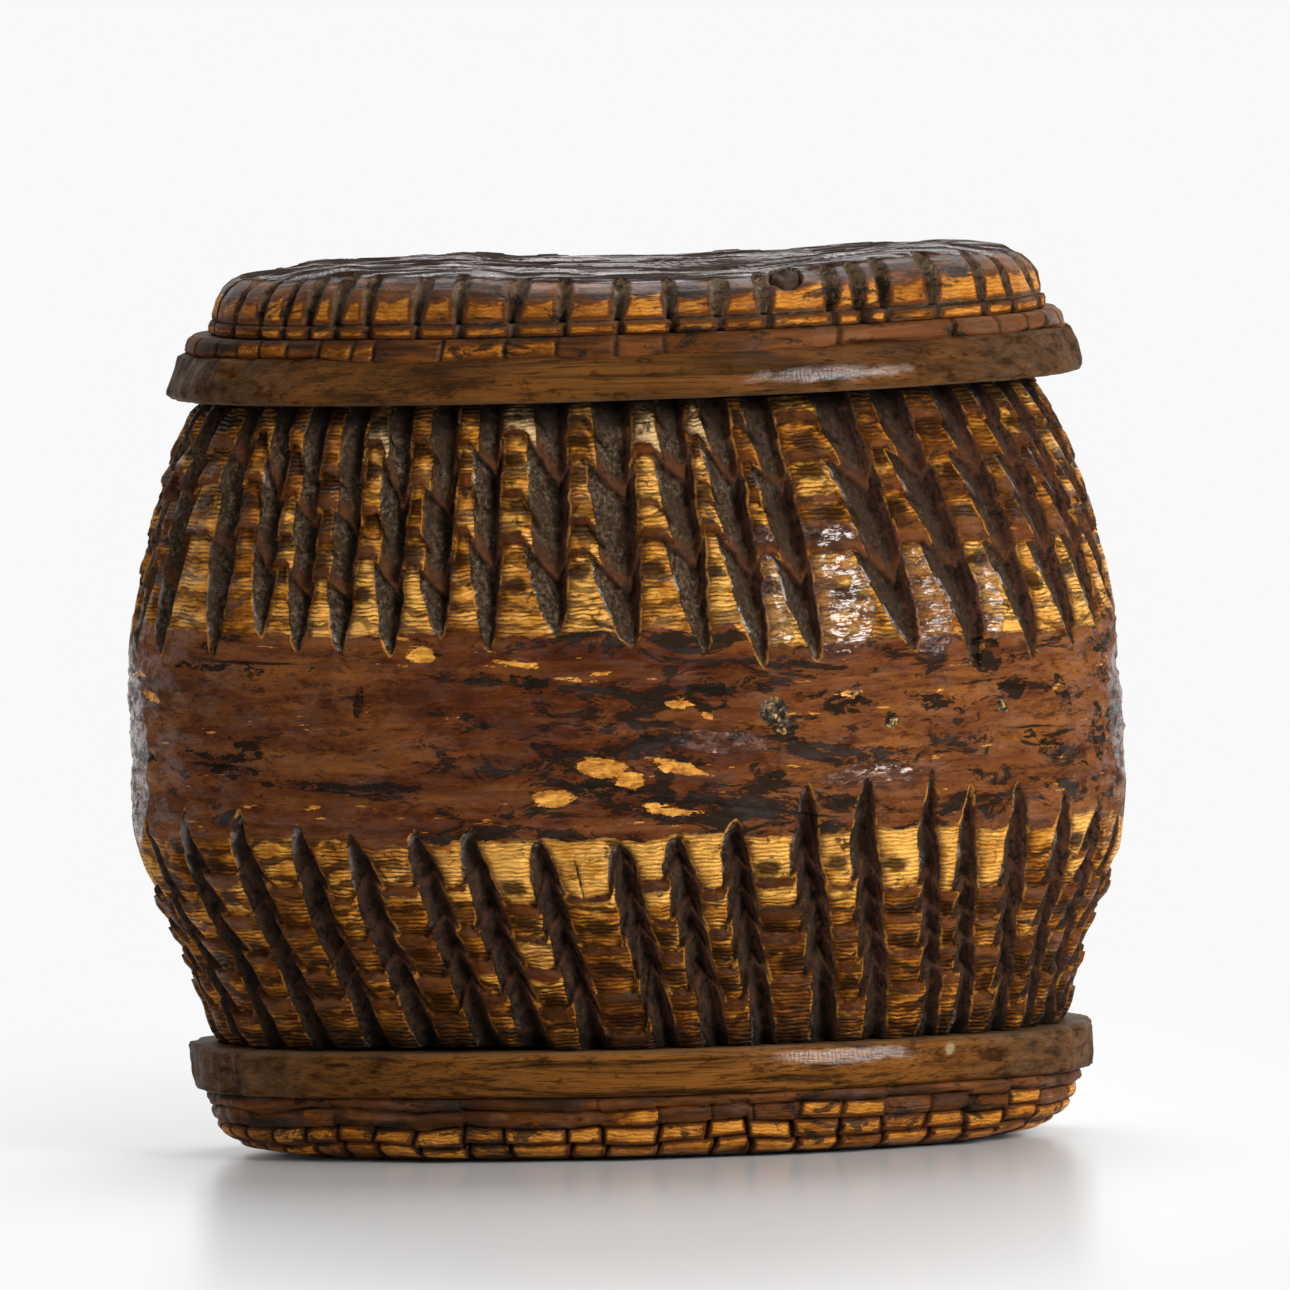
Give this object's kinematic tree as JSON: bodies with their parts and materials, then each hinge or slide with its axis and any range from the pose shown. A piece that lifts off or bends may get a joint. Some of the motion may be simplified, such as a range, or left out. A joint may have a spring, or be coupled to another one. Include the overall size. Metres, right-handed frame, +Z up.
{
  "type": "snuff box",
  "caption": "Oval barrel-shaped snuff box of carved layered bark, with a lift-off plug lid, between bevelled wooden boards faced with notched bark.",
  "frame": {"origin": "middle of the flat underside that the box stands on", "axes": "+X along the long side of the oval, +Z up, -Y towards the viewer of the picture"},
  "size_m": [0.092, 0.06, 0.081],
  "materials": {
    "bark_body": "carved layered bark, oiled, worn and darkened in the cuts",
    "bark_facing": "notched layered bark, worn smooth",
    "board_wood": "knife-cut wood, handled to a soft gloss",
    "plug_wood": "plain cut wood, stained by snuff",
    "peg_wood": "dark whittled wood"
  },
  "bodies": {
    "box": {"body_shell": "bark_body", "base_plug": "plug_wood", "base_board": "board_wood", "base_sole": "bark_facing", "base_plug_pegs": "peg_wood", "sole_pegs": "peg_wood"},
    "lid": {"lid_plug": "plug_wood", "lid_board": "board_wood", "lid_strip": "bark_facing", "lid_cap": "bark_facing", "lid_plug_pegs": "peg_wood", "lid_cap_pegs": "peg_wood"}
  },
  "joints": [
    {"name": "lid_lift", "type": "slide", "parent": "box", "child": "lid", "axis": [0, 0, 1], "range_m": [0, 0.05]}
  ]
}
